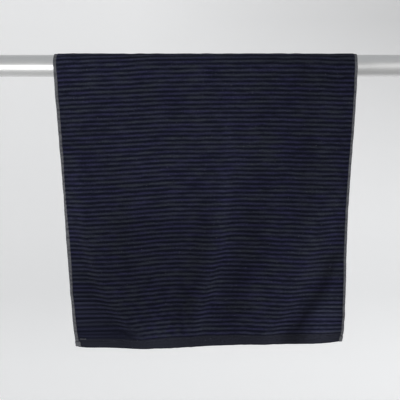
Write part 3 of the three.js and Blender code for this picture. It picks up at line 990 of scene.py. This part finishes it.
def bar():
    """A plain round bar turned from its profile, with its ends just broken."""
    profile = (
        (0.0, 0.0),
        (BAR_RADIUS - BAR_EDGE, 0.0),
        (BAR_RADIUS - BAR_EDGE_INNER, BAR_EDGE_INNER),
        (BAR_RADIUS, BAR_EDGE),
        (BAR_RADIUS, BAR_LENGTH - BAR_EDGE),
        (BAR_RADIUS - BAR_EDGE_INNER, BAR_LENGTH - BAR_EDGE_INNER),
        (BAR_RADIUS - BAR_EDGE, BAR_LENGTH),
        (0.0, BAR_LENGTH),
    )
    places = [(bar_low.x + along, 0, radius) for radius, along in profile]
    bm = turned(places, centre=(0, 0, 0), axis=(1, 0, 0), steps=BAR_STEPS)
    piece = make_piece("bar_tube", bm, satin_metal)
    for face in piece.data.polygons:
        face.use_smooth = abs(face.normal.x) < FLAT_FROM
    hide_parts("bar")
    return piece


bar()

# The stage: a pale round room, a camera at the photograph's angle and soft light

ROOM_RADIUS = 6.0
ROOM_HEIGHT = 6.0
ROOM_BEND = 1.5
ROOM_BEND_STEPS = 12
ROOM_ROUND_STEPS = 96
FLOOR_DROP = 1.15
# How strongly the room glows, as painted light.
ROOM_GLOW = 0.27
# Its paint, with painted light and shade: behind the part from left to right, high and low, and in front
# from left to right. It is darker high on the right and all across the front as painted shade, and lighter
# low on the right as painted light.
HIGH_PAINTED_SHADE = ((0.82, 0.82, 0.82), (0.61, 0.61, 0.61))
LOW_PAINTED_LIGHT = ((0.84, 0.84, 0.84), (0.94, 0.94, 0.94))
FRONT_PAINTED_SHADE = ((0.59, 0.59, 0.59), (0.44, 0.44, 0.44))
BEHIND_ACROSS = (0.0, 2.0)
FRONT_ACROSS = (-0.2, 1.3)
PAINT_HEIGHTS = (-1.15, 0.2)
PAINT_DEPTHS = (0.0, 1.1)
# Painted light on the floor: it is brighter close by than further back: depths, then brightness.
NEAR_FLOOR = (1.5, 2.7)
NEAR_PAINTED_LIGHT = (1.07, 0.965)


def room():
    """A pale floor that bends up into a wall all round, so that no view meets a corner."""
    rounded = [
        (ROOM_RADIUS - ROOM_BEND + ROOM_BEND * math.sin(turn), ROOM_BEND - ROOM_BEND * math.cos(turn))
        for turn in np.linspace(0, math.pi / 2, ROOM_BEND_STEPS + 1)
    ]
    profile = [(0.0, 0.0)] + rounded + [(ROOM_RADIUS, ROOM_HEIGHT)]
    middle = (bar_low.x + bar_high.x) / 2
    places = [(middle + radius, 0, height - FLOOR_DROP) for radius, height in profile]
    bm = turned(places, centre=(middle, 0, 0), axis=(0, 0, 1), steps=ROOM_ROUND_STEPS)
    smooth_object("room", bm, room_painted_light())


def room_painted_light():
    """Pale matt paint that changes in soft steps over the room as painted light and shade, and glows a
    little as painted light.
    """
    paint, tree, shader = new_material("pale_room_painted_light", 0.9)
    place = add_node(tree, "ShaderNodeTexCoord").outputs["Object"]
    across, away, up = add_node(tree, "ShaderNodeSeparateXYZ", {"Vector": place}).outputs
    high = blend_colours(tree, spread(tree, across, *BEHIND_ACROSS), *HIGH_PAINTED_SHADE)
    low = blend_colours(tree, spread(tree, across, *FRONT_ACROSS), *LOW_PAINTED_LIGHT)
    near = spread(tree, away, *NEAR_FLOOR, *NEAR_PAINTED_LIGHT)
    low = blend_colours(tree, 1.0, low, as_grey(tree, near), "MULTIPLY")
    behind = blend_colours(tree, spread(tree, up, *PAINT_HEIGHTS), low, high)
    front = blend_colours(tree, spread(tree, across, *FRONT_ACROSS), *FRONT_PAINTED_SHADE)
    colour = blend_colours(tree, spread(tree, away, *PAINT_DEPTHS), front, behind)
    tree.links.new(colour, shader.inputs["Base Color"])
    # The same colour glows a little, as painted light.
    tree.links.new(colour, shader.inputs["Emission Color"])
    shader.inputs["Emission Strength"].default_value = ROOM_GLOW
    return paint


room()

CAMERA_LENS_PIXELS = 1150
IMAGE_PIXELS = 400
CAMERA_PITCH = math.radians(8)
CAMERA_PLACE = (0.4893, -2.6905, 0.0631)
SKY_COLOUR = (0.95, 0.97, 1.0)


def camera():
    """The camera, which looks straight along +Y and a little down."""
    lens = bpy.data.cameras.new("camera")
    lens.sensor_width = 36
    lens.lens = lens.sensor_width * CAMERA_LENS_PIXELS / IMAGE_PIXELS
    holder = add_object("camera", lens)
    holder.location = CAMERA_PLACE
    holder.rotation_euler = (math.pi / 2 - CAMERA_PITCH, 0, 0)
    bpy.context.scene.camera = holder


def softbox(name, place, aim, size, energy):
    """A white lamp as wide and high as the size, which shines at the aim."""
    lamp = bpy.data.lights.new(name, "AREA")
    lamp.shape = "RECTANGLE"
    lamp.size, lamp.size_y = size
    lamp.energy = energy
    holder = add_object(name, lamp)
    holder.location = place
    holder.rotation_euler = (Vector(aim) - Vector(place)).to_track_quat("-Z", "Y").to_euler()


def world_light(strength):
    """Even light that comes in over the room's wall."""
    world = bpy.data.worlds.new("studio")
    world.use_nodes = True
    background = world.node_tree.nodes["Background"]
    background.inputs["Color"].default_value = (*SKY_COLOUR, 1)
    background.inputs["Strength"].default_value = strength
    bpy.context.scene.world = world


camera()
softbox("side window", place=(5.0, -2.6, 0.6), aim=(0.45, 0, -0.3), size=(2.4, 2.4), energy=60)
softbox("window", place=(-1.0, -2.9, -0.73), aim=(0.30, 0, -0.2), size=(2.3, 0.80), energy=42)
softbox("fill", place=(1.5, -2.9, -0.38), aim=(0.55, 0, -0.2), size=(1.8, 1.5), energy=4)
world_light(0.50)
bpy.context.scene.view_settings.view_transform = "Standard"
